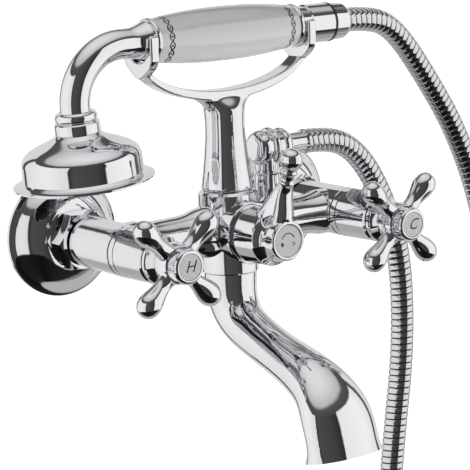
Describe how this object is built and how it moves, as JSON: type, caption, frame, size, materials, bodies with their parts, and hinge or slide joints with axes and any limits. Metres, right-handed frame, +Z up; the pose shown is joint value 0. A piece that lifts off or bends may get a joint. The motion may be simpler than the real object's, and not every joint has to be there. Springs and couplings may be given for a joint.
{
  "type": "wall mounted bath faucet",
  "caption": "Wall mounted bath mixer with cross handles, lever diverter, downswept spout and a hand shower with porcelain grip in a cradle, on a flexible hose.",
  "frame": {"origin": "midway between the two wall inlets, on the finished wall face", "axes": "+Z up, +Y into the wall, so the mixer stands out along -Y; +X to the right of a person facing the wall"},
  "size_m": [0.3444, 0.1802, 0.6072],
  "materials": {
    "chrome": "polished chrome plate on cast and turned brass",
    "hose_metal": "chromed interlocked spiral strip",
    "raw_brass": "turned, hidden inside",
    "stainless": "satin",
    "porcelain": "glazed white porcelain",
    "alumina": "lapped alumina ceramic",
    "index_enamel": "satin insert with a dark mark",
    "rubber": "matt EPDM",
    "black_plastic": "moulded acetal",
    "white_plastic": "moulded acetal"
  },
  "bodies": {
    "mixer": {"cartridge_seat_seals": "rubber", "cold_bonnet_sleeve": "chrome", "cold_cartridge_body": "raw_brass", "cold_escutcheon": "chrome", "cold_fixed_disc": "alumina", "cold_union_nut": "chrome", "cold_wall_union": "raw_brass", "cradle": "chrome", "cradle_stud": "stainless", "diverter_bonnet": "chrome", "hot_bonnet_sleeve": "chrome", "hot_cartridge_body": "raw_brass", "hot_escutcheon": "chrome", "hot_fixed_disc": "alumina", "hot_union_nut": "chrome", "hot_wall_union": "raw_brass", "mixer_body": "chrome", "non_return_valve": "black_plastic", "outlet_elbow": "chrome", "outlet_hose_ferrule": "chrome", "outlet_nipple": "chrome", "outlet_swivel_nut": "chrome", "outlet_washer": "rubber", "shower_hose": "hose_metal", "spout": "chrome", "spout_flow_insert": "white_plastic", "spout_seal": "rubber", "union_washers": "rubber"},
    "hot_handle": {"hot_handle_cross": "chrome", "hot_handle_skirt": "chrome", "hot_handle_screw": "stainless", "hot_handle_cap": "chrome", "hot_index_disc": "index_enamel", "hot_spindle": "raw_brass", "hot_moving_disc": "alumina"},
    "cold_handle": {"cold_handle_cross": "chrome", "cold_handle_skirt": "chrome", "cold_handle_screw": "stainless", "cold_handle_cap": "chrome", "cold_index_disc": "index_enamel", "cold_spindle": "raw_brass", "cold_moving_disc": "alumina"},
    "diverter": {"diverter_lever": "chrome", "lever_screw": "stainless", "lever_index_disc": "index_enamel", "diverter_plug": "raw_brass"},
    "handset": {"grip_sleeve": "porcelain", "grip_ring_left": "chrome", "grip_ring_right": "chrome", "handset_core_tube": "raw_brass", "gooseneck": "chrome", "gooseneck_collar": "chrome", "spray_swivel_nut": "chrome", "spray_bell": "chrome", "spray_plate": "stainless", "spray_gasket": "rubber", "handset_end_fitting": "chrome", "handset_washer": "black_plastic", "hose_cone_nut": "chrome", "handset_hose_ferrule": "raw_brass"}
  },
  "joints": [
    {"name": "hot_handle_turn", "type": "hinge", "parent": "mixer", "child": "hot_handle", "pos_m": [-0.075, -0.1134, 0.008], "axis": [0, -1, 0], "range_deg": [0, 90]},
    {"name": "cold_handle_turn", "type": "hinge", "parent": "mixer", "child": "cold_handle", "pos_m": [0.075, -0.1134, 0.008], "axis": [0, 1, 0], "range_deg": [0, 90]},
    {"name": "diverter_turn", "type": "hinge", "parent": "mixer", "child": "diverter", "pos_m": [0, -0.1, 0.008], "axis": [0, -1, 0], "range_deg": [-45, 45]},
    {"name": "handset_lift", "type": "slide", "parent": "mixer", "child": "handset", "axis": [0, 0, 1], "range_m": [0, 0.03]}
  ]
}
